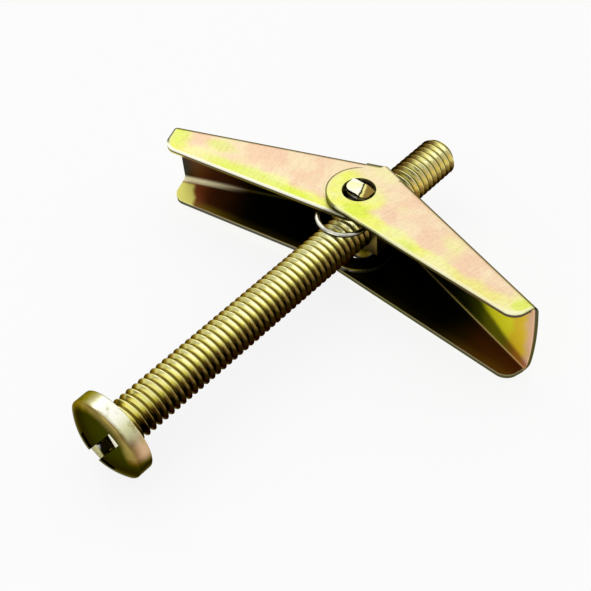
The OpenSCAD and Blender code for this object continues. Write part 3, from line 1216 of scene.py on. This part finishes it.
# %% Finish of the nut and the spring
STEEL = seen(244, 242, 226)
STEEL_GREY = seen(206, 204, 186)
STEEL_DARK = seen(46, 42, 26)
ROUGH_RELIEF = 0.01 * MM


def wire_metal():
    material, shader, spot = new_material("spring_steel")
    clouds = noise(spot, 900.0, 4.0)
    faces_up = out(add_node(spot.tree, "ShaderNodeNewGeometry"), "Normal")
    upward = out(add_node(spot.tree, "ShaderNodeSeparateXYZ", Vector=faces_up), 2)
    steel = blend(clouds.step(0.35, 0.65), STEEL, STEEL_GREY)
    finish(
        # painted shade: the wire turns dark where it faces down, and stays bright steel on top
        shader, blend((upward + (clouds - 0.5) * 0.3).step(0.1, 0.75), STEEL_DARK, steel),
        rough=0.12 + clouds * 0.12, relief=clouds, depth=ROUGH_RELIEF, grazing=GRAZING,
    )
    return material


def lug_end_film(x, y, clouds):
    """The end of a lug: pale, then slanted bands of painted shade where it slopes off: dark, gold and bronze.
    """
    slanted = x + (y - HINGE.y / MM) * 0.35 + (clouds - 0.5) * 1.1
    film = blend(clouds.step(0.4, 0.6), WHITE_GOLD, PALE_GOLD)
    for low, high, colour in ((0.3, 0.55, PAINTED_DARK), (0.62, 0.8, GOLD), (0.9, 1.3, BRONZE)):
        film = blend(slanted.step(low, high), film, colour)
    return film


def nut_metal():
    material, shader, spot = new_material("zinc_on_nut")
    x, y, z = axes(spot)
    clouds = noise(spot, 700.0, 4.0)
    below_top = LUG_TOP / MM - z.size()
    # painted highlight between painted dark bands down the sides of a lug
    lug_side_highlight = below_top.step(0.42, 0.52) * (1 - below_top.step(0.85, 0.95))
    plate = blend(clouds.step(0.4, 0.62), BRONZE, ROOT_BROWN)
    film = blend(below_top.step(1.4, 1.8), blend(lug_side_highlight, PAINTED_DARK, WHITE_GOLD), plate)
    sloped_top = below_top - (x - SHEAR_FROM / MM).at_least(0.0) * math.tan(SHEAR_SLOPE)
    finish(
        shader, blend(1 - sloped_top.step(0.08, 0.14), film, lug_end_film(x, y, clouds)),
        rough=0.22 + clouds * 0.2, relief=clouds, depth=ROUGH_RELIEF,
    )
    return material


paint(nut, nut_metal())
wire_steel = wire_metal()
for piece in (outer_leg, inner_leg):
    paint(piece, wire_steel)

# %% [markdown]
# The stage is a plain pale floor that the toggle lies on, under a white sky that is brighter behind the
# object than in front of it, as under a big soft box. Metal has no look of its own: it shows what is around
# it, and it takes that change from bright to dim to look like metal. The floor is white to the eye and keeps
# a soft shadow.

# %% Floor and light
SKY_BRIGHT, SKY_DIM = 1.0, 0.5
FLOOR_WHITE = 0.85
FLOOR_PALE = (0.9, 0.9, 0.9, 1)
floor_z = min(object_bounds()[0].z, cad_box[0].z)
floor = start("floor", bpy.ops.mesh.primitive_plane_add, size=40, location=(0, HINGE.y, floor_z))
floor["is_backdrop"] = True
floor_material, floor_shader, _ = new_material("pale_floor")
floor_tree = floor_material.node_tree
floor_shader.inputs["Base Color"].default_value = FLOOR_PALE
floor_shader.inputs["Roughness"].default_value = 0.9
floor_shader.inputs["Specular IOR Level"].default_value = 0.0


def seen_ray(tree):
    """1 for a ray from the eye, from a mirror or through glass, and 0 for light that falls on things."""
    rays = add_node(tree, "ShaderNodeLightPath")
    kinds = [out(rays, f"Is {kind} Ray") for kind in ("Camera", "Glossy", "Transmission")]
    return kinds[0].at_least(kinds[1]).at_least(kinds[2])


glow = add_node(floor_tree, "ShaderNodeEmission", Color=WHITE, Strength=1.0)
mixed = add_node(floor_tree, "ShaderNodeMixShader", Fac=seen_ray(floor_tree) * FLOOR_WHITE)
floor_tree.links.new(floor_shader.outputs[0], mixed.inputs[1])
floor_tree.links.new(glow.outputs[0], mixed.inputs[2])
floor_tree.links.new(mixed.outputs[0], floor_tree.nodes["Material Output"].inputs["Surface"])
paint(floor, floor_material)

world = bpy.data.worlds.new("studio")
bpy.context.scene.world = world
world.use_nodes = True
sky = world.node_tree
bright_side = Vector((-0.45, 0.5, 0.74)).normalized()
facing = add_node(sky, "ShaderNodeVectorMath", {"operation": "DOT_PRODUCT"})
connect(out(add_node(sky, "ShaderNodeTexCoord"), "Generated"), facing.inputs[0])
connect(bright_side, facing.inputs[1])
strength = out(facing, "Value").step(0.1, 0.85) * (SKY_BRIGHT - SKY_DIM) + SKY_DIM
connect(WHITE, sky.nodes["Background"].inputs["Color"])
connect(strength, sky.nodes["Background"].inputs["Strength"])


def lamp(name, place_at, aim, size, power):
    """A rectangular lamp that looks at a point. Its power is in watts."""
    bpy.ops.object.light_add(type="AREA", location=place_at)
    light = bpy.context.active_object
    light.name = name
    light.data.shape = "RECTANGLE"
    light.data.size, light.data.size_y = size
    light.data.energy = power
    light.rotation_mode = "QUATERNION"
    light.rotation_quaternion = (Vector(aim) - Vector(place_at)).to_track_quat("-Z", "Y")
    print(f"{name} lamp: {power} W")


middle_of_object = Vector((0, HINGE.y / 2, 0))
lamp("key", (-0.3, 0.1, 0.3), middle_of_object, (0.1, 0.1), 0.12)
lamp("fill", (0.0, -0.28, 0.12), HINGE, (0.24, 0.16), 0.17)

# %% [markdown]
# The camera looks down on the toggle from beside the screw's head. Its place is given as a turn about the
# vertical, a height angle and a distance from a point near the hinge.

# %% Camera
CAMERA_TURN = math.radians(45.79)
CAMERA_HEIGHT = math.radians(47.68)
CAMERA_ROLL = math.radians(-5.11)
CAMERA_DISTANCE = 152.56 * MM
AIM_ACROSS, AIM_UP, AIM_BELOW = 8.92 * MM, 9.14 * MM, 1.225 * MM
SENSOR = 36
LENS = 67.06
across = Vector((math.cos(CAMERA_TURN), math.sin(CAMERA_TURN), 0))
forward = Vector(
    (
        -math.sin(CAMERA_TURN) * math.cos(CAMERA_HEIGHT),
        math.cos(CAMERA_TURN) * math.cos(CAMERA_HEIGHT), -math.sin(CAMERA_HEIGHT),
    )
)
up = across.cross(forward)
rolled_across = across * math.cos(CAMERA_ROLL) + up * math.sin(CAMERA_ROLL)
rolled_up = up * math.cos(CAMERA_ROLL) - across * math.sin(CAMERA_ROLL)
target = HINGE - Vector((0, 0, AIM_BELOW))
eye = target - forward * CAMERA_DISTANCE - rolled_across * AIM_ACROSS - rolled_up * AIM_UP
bpy.ops.object.camera_add()
camera = bpy.context.active_object
camera.data.sensor_width = SENSOR
camera.data.lens = LENS
camera.data.clip_start = 1 * MM
camera.data.clip_end = 100
turned_to = Matrix((rolled_across, rolled_up, -forward)).transposed().to_4x4()
camera.matrix_world = Matrix.Translation(eye) @ turned_to
bpy.context.scene.camera = camera
bpy.context.scene.view_settings.view_transform = "Standard"
print(f"camera {CAMERA_DISTANCE / MM:.0f} mm from the hinge")

# %% Sizes and finish
shown_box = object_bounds()
pairs = [pair for corners in zip(cad_box, shown_box) for pair in zip(*corners)]
print(f"largest difference of a corner: {max(abs(cad - shown) for cad, shown in pairs) / MM:.2f} mm")
